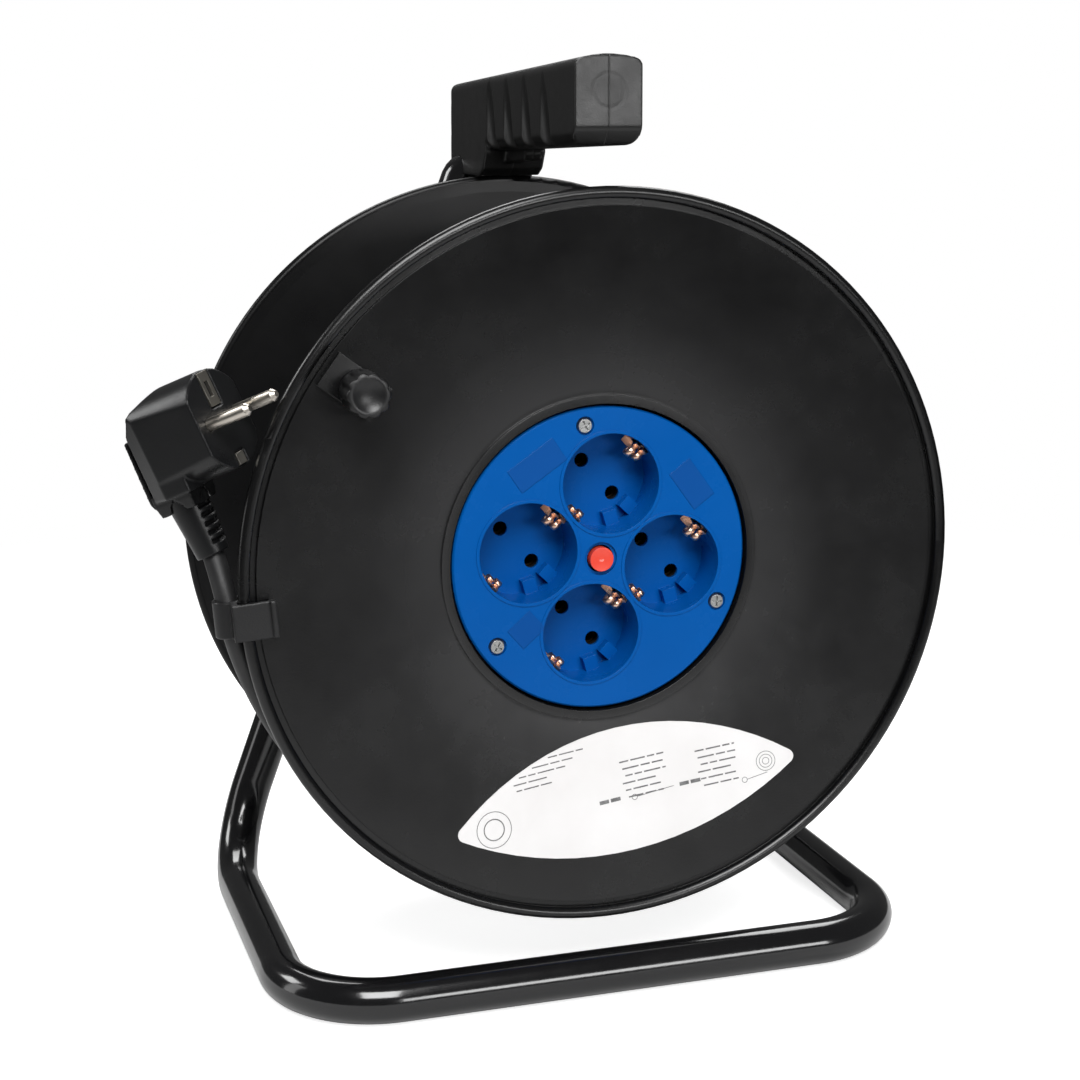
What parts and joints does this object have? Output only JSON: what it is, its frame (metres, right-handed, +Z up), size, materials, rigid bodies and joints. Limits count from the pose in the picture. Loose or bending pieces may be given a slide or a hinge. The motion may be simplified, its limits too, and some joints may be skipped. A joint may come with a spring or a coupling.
{
  "type": "extension cord reel",
  "caption": "Open drum extension cord reel on a bent tube stand with a carry handle, earthed sockets in the drum, a winding knob, a reset button and a moulded angled plug on its cable.",
  "frame": {"origin": "on the floor, under the middle of the reel's width and depth, cable end left out", "axes": "+Z up, +X to the right seen from the sockets, the sockets face -Y"},
  "size_m": [0.3265, 0.1972, 0.3673],
  "materials": {
    "tube_paint": "glossy black",
    "steel": "zinc plated",
    "washer_plastic": "natural acetal",
    "grip_plastic": "satin black",
    "drum_plastic": "satin black",
    "cover_blue": "satin blue",
    "insulator": "matte black",
    "contact_brass": "bright",
    "button_red": "glossy red",
    "label_white": "coated white",
    "cable_sheath": "matte black",
    "plug_plastic": "satin black",
    "pin_nickel": "nickel plated"
  },
  "bodies": {
    "frame": {"frame_tube": "tube_paint", "axle_bracket": "tube_paint", "drum_spindle": "steel", "spindle_washer": "steel", "spindle_nut": "steel", "thrust_washer": "washer_plastic", "handle_shell_left": "grip_plastic", "handle_shell_right": "grip_plastic", "handle_screws": "steel"},
    "drum": {"front_flange": "drum_plastic", "rear_flange": "drum_plastic", "drum_core": "drum_plastic", "core_screws": "steel", "hub_bush": "washer_plastic", "socket_cover": "cover_blue", "socket_wells": "cover_blue", "socket_base": "insulator", "socket_back": "insulator", "cover_screws": "steel", "line_contacts": "contact_brass", "neutral_contacts": "contact_brass", "earth_contacts": "contact_brass", "thermal_cutout": "insulator", "knob_pin": "steel", "drum_label": "label_white", "cable_clamp": "insulator", "clamp_screws": "steel", "cable_tail": "cable_sheath", "cable_winding": "cable_sheath"},
    "reset_button": {"reset_button": "button_red"},
    "winding_knob": {"winding_knob": "grip_plastic"},
    "cable_end": {"rim_clip": "grip_plastic", "cable_lead": "cable_sheath", "strain_relief": "plug_plastic", "plug_body": "plug_plastic", "plug_pins": "pin_nickel", "plug_earth_contacts": "contact_brass"}
  },
  "joints": [
    {"name": "drum_spin", "type": "hinge", "parent": "frame", "child": "drum", "pos_m": [0, -0.08325, 0.174], "axis": [0, 1, 0], "continuous": true},
    {"name": "knob_spin", "type": "hinge", "parent": "drum", "child": "winding_knob", "pos_m": [-0.09754, -0.08325, 0.24644], "axis": [0, 1, 0], "continuous": true},
    {"name": "reset_press", "type": "slide", "parent": "drum", "child": "reset_button", "axis": [0, 1, 0], "range_m": [0, 0.0025], "stiffness_N_per_m": 400, "springref_m": -0.0015},
    {"name": "clip_slide", "type": "hinge", "parent": "frame", "child": "cable_end", "pos_m": [0, -0.08325, 0.174], "axis": [0, 1, 0], "range_deg": [-50, 42]}
  ]
}
